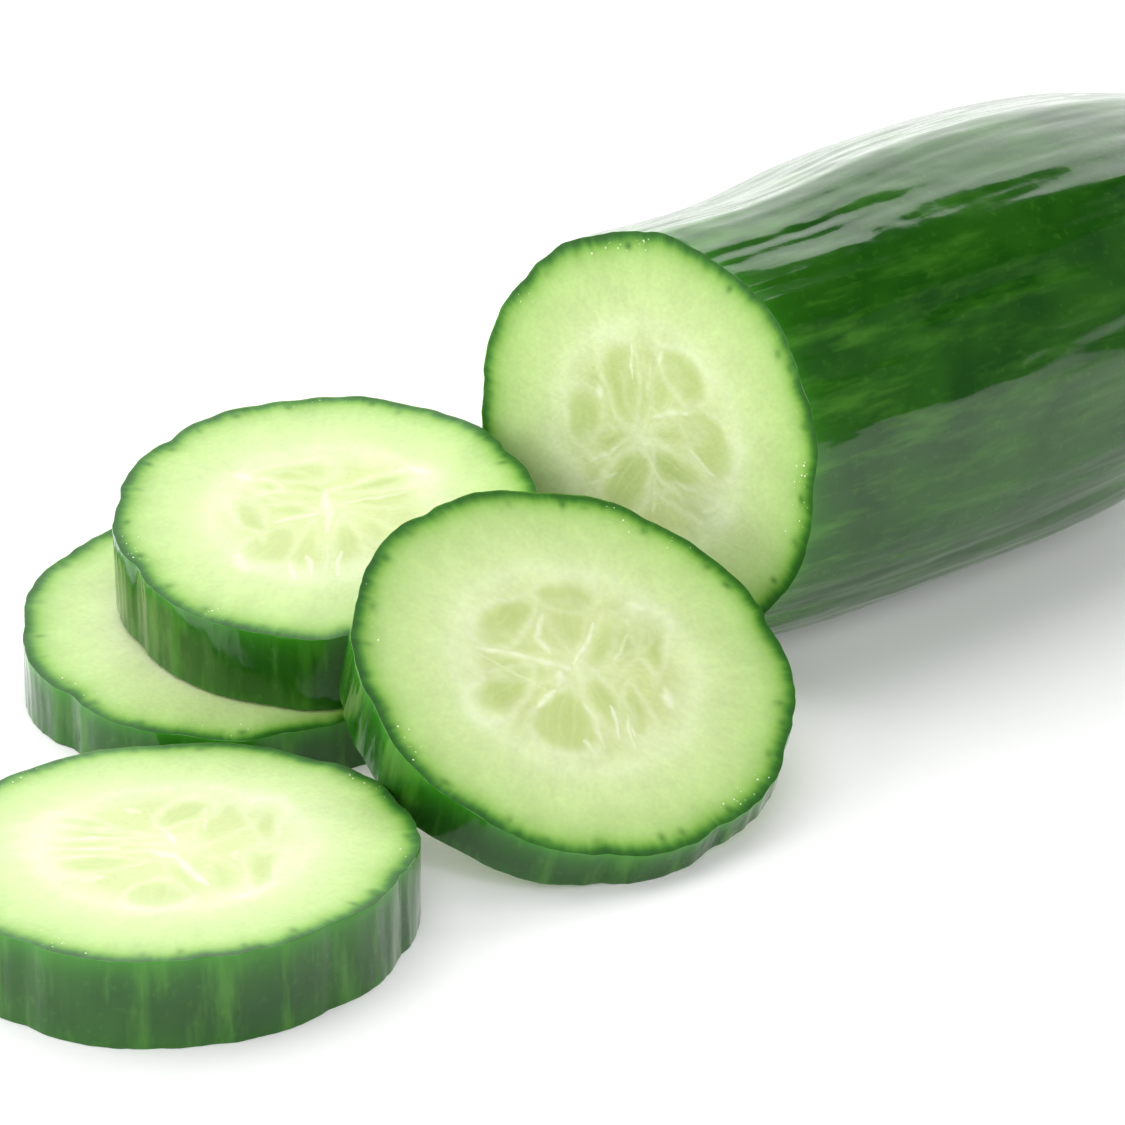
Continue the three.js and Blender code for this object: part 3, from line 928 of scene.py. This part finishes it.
def make_fruit(name):
    """The uncut rest of the fruit: one cut face, the skin, and the blossom end with its scar."""
    lay = np.array(Matrix.Rotation(math.pi / 2, 3, "Y")).T
    normal = CUT_NORMAL.normalized()
    right = (VIEW_RIGHT - VIEW_RIGHT.dot(normal) * normal).normalized()
    up = normal.cross(right)

    def shear(p):
        return -(p[..., 1] * normal.y + p[..., 2] * normal.z) / normal.x

    def plane_uv(distance, angles, which):
        flat = distance * np.cos(angles), distance * np.sin(angles), 0 * distance * angles
        p = np.stack(flat, axis=-1) @ lay
        p[..., 0] = shear(p)
        return p @ np.array(right), p @ np.array(up)

    def pose(p):
        """Lays the fruit along +X, shears its start into the askew cut, and bends it sideways."""
        p = p @ lay
        forward = p[:, 0].copy()
        # The cut's slant dies out over the first part of the fruit, so the rings stay evenly spaced.
        p[:, 0] += shear(p) * np.clip(1 - forward / (WIDEST_AT_MM * MM), 0, 1)
        facing = np.clip(p @ np.array(SADDLE_SIDE) / (WIDEST_RADIUS_MM * MM), 0, 1) ** 2
        dip = SADDLE_MM * MM * facing * np.exp(-(((forward / MM - SADDLE_AT_MM) / SADDLE_SPAN_MM) ** 2))
        p -= dip[:, None] * np.array(SADDLE_SIDE)
        p[:, 1] += SIDE_BEND_MM * MM * (forward / (BEND_SPAN_MM * MM)) ** 2
        return p

    # The skin ends where the fruit has narrowed to the scar.
    end_share = (1 - (SCAR_RADIUS_MM / WIDEST_RADIUS_MM) ** 2) ** (1 / END_FULLNESS)
    tip = WIDEST_AT_MM + (FRUIT_LENGTH_MM - WIDEST_AT_MM) * end_share
    turning = np.sin(np.linspace(0, np.pi / 2, END_RINGS + 1))[1:]
    along = [EDGE_MM, 0.3, 0.7, *np.linspace(1.4, WIDEST_AT_MM, SWELL_RINGS)]
    along += [*(WIDEST_AT_MM + (tip - WIDEST_AT_MM) * turning)]
    wall = [(float(fruit_radius(a)), a) for a in along]
    wall += [(radius, tip + past) for radius, past in SCAR_RINGS_MM]
    rings = face_rings(float(fruit_radius(0.0)), 0.0, SEEN_STEP_MM, -1)[::-1]
    rings = np.array(rings + [(radius, height, 0.0, 0) for radius, height in wall])
    height, on_skin = rings[:, 1], rings[:, 3] == 0
    scar = on_skin * smooth(tip - 0.9, tip - 0.1, height)
    relief, marks = face_pattern(rings, plane_uv, {-1: CORES[name]}, FRUIT_SEED, on_skin * height, scar)
    marks["edge"] += WHOLE_FRUIT_MM
    ends = END_INSET_MM, tip + SCAR_RINGS_MM[-1][1]
    mesh = grow(name, rings, ends, relief, marks, 0, FRUIT_SEED)
    stations = np.concatenate([[0.0], np.linspace(0.5, tip, OUTLINE_STATIONS)])
    outline = cad_outline(bpy.context.scene.cucumber_shape, 0, fruit_radius(stations), stations)
    finish_piece(name, mesh, pose, outline)


class CUCUMBER_OT_fruit(bpy.types.Operator):
    """Build the uncut rest of the cucumber with its cut face and blossom end."""

    bl_idname = "cucumber.fruit"
    bl_label = "Uncut cucumber"

    def execute(self, context):
        make_fruit("cut_cucumber")
        return {"FINISHED"}


class CUCUMBER_OT_slices(bpy.types.Operator):
    """Build the four slices, each with its own core, where the CAD lays them."""

    bl_idname = "cucumber.slices"
    bl_label = "Slices"

    def execute(self, context):
        for number, (name, sizes) in enumerate(SLICES.items(), start=1):
            make_slice(name, sizes, number)
        return {"FINISHED"}


class CUCUMBER_OT_juice(bpy.types.Operator):
    """Strew small beads of juice over the cut faces."""

    bl_idname = "cucumber.juice"
    bl_label = "Juice beads"

    def execute(self, context):
        tree = juice_tree(make_juice())
        radius = context.scene.cucumber_shape.bead_radius
        parts = []
        for number, name in enumerate(["cut_cucumber", *SLICES], start=1):
            mesh = run_tree(bpy.data.objects[name + "_grown"], tree, Largest_Radius=radius, Seed=number)
            part = bpy.data.objects.new("beads", mesh)
            context.scene.collection.objects.link(part)
            parts.append(part)
        with context.temp_override(active_object=parts[0], selected_editable_objects=parts):
            bpy.ops.object.join()
        beads = parts[0]
        beads.name = "juice_beads"
        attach(beads, "root")
        return {"FINISHED"}


def seen_from_camera(right, back, up):
    """A place given by how far it is to the camera's right, behind the subject, and above the floor."""
    away = Vector((-math.sin(VIEW_AZIMUTH), math.cos(VIEW_AZIMUTH), 0))
    return VIEW_AIM + right * VIEW_RIGHT + back * away + Vector((0, 0, up))


def add_panel(name, place, aim, size, brightness):
    """A flat rectangle of even light that faces a point."""
    light = bpy.data.lights.new(name, "AREA")
    light.shape = "RECTANGLE"
    light.size, light.size_y = size
    light.energy = brightness * math.pi * size[0] * size[1]
    obj = bpy.data.objects.new(name, light)
    bpy.context.scene.collection.objects.link(obj)
    obj.location = place
    obj.rotation_euler = (Vector(aim) - Vector(place)).to_track_quat("-Z", "Y").to_euler()


class CUCUMBER_OT_stage(bpy.types.Operator):
    """Make the floor, the soft lights and the camera."""

    bl_idname = "cucumber.stage"
    bl_label = "Floor, lights and camera"

    def execute(self, context):
        scene = context.scene
        settings = scene.cucumber_stage
        mesh = bpy.data.meshes.new("floor")
        ends = -FLOOR_HALF, FLOOR_HALF
        corners = [(x, y, -FLOOR_DROP) for y in ends for x in ends]
        mesh.from_pydata(corners, [], [(0, 1, 3, 2)])
        mesh.materials.append(make_floor(settings))
        floor = bpy.data.objects.new("floor", mesh)
        scene.collection.objects.link(floor)

        for name, setting, place, aim, size in LIGHTS:
            brightness = getattr(settings, setting)
            add_panel(name, seen_from_camera(*place), seen_from_camera(*aim), size, brightness)

        world = bpy.data.worlds.new("studio")
        scene.world = world
        world.use_nodes = True
        world.node_tree.nodes["Background"].inputs["Strength"].default_value = settings.room

        camera = bpy.data.cameras.new("camera")
        camera.lens = VIEW_LENS_MM
        camera.sensor_width = 36
        camera.clip_end = 10
        obj = bpy.data.objects.new("camera", camera)
        scene.collection.objects.link(obj)
        level = math.cos(VIEW_ELEVATION) * VIEW_DISTANCE
        obj.location = seen_from_camera(0, -level, math.sin(VIEW_ELEVATION) * VIEW_DISTANCE)
        obj.rotation_euler = (VIEW_AIM - obj.location).to_track_quat("-Z", "Y").to_euler()
        scene.camera = obj
        scene.view_settings.view_transform = "Standard"
        return {"FINISHED"}


class CUCUMBER_PT_panel(bpy.types.Panel):
    """Lists the sizes, colours and build steps."""

    bl_idname = "CUCUMBER_PT_panel"
    bl_label = "Sliced cucumber"
    bl_space_type = "VIEW_3D"
    bl_region_type = "UI"
    bl_category = "Cucumber"

    def draw(self, context):
        for key, kind in SETTINGS.items():
            box = self.layout.box()
            for name in kind.__annotations__:
                box.prop(getattr(context.scene, key), name)
        for operator in OPERATORS:
            self.layout.operator(operator.bl_idname)


OPERATORS = (CUCUMBER_OT_fruit, CUCUMBER_OT_slices, CUCUMBER_OT_juice, CUCUMBER_OT_stage)
SETTINGS = {
    "cucumber_shape": CucumberShape,
    "cucumber_skin": CucumberSkin,
    "cucumber_flesh": CucumberFlesh,
    "cucumber_stage": CucumberStage,
}


def register():
    for cls in (*SETTINGS.values(), *OPERATORS, CUCUMBER_PT_panel):
        bpy.utils.register_class(cls)
    for name, cls in SETTINGS.items():
        setattr(bpy.types.Scene, name, bpy.props.PointerProperty(type=cls))


def unregister():
    for name in SETTINGS:
        delattr(bpy.types.Scene, name)
    for cls in reversed((*SETTINGS.values(), *OPERATORS, CUCUMBER_PT_panel)):
        bpy.utils.unregister_class(cls)


def main():
    register()
    bpy.ops.cucumber.fruit()
    bpy.ops.cucumber.slices()
    bpy.ops.cucumber.juice()
    bpy.ops.cucumber.stage()


if __name__ == "__main__":
    main()
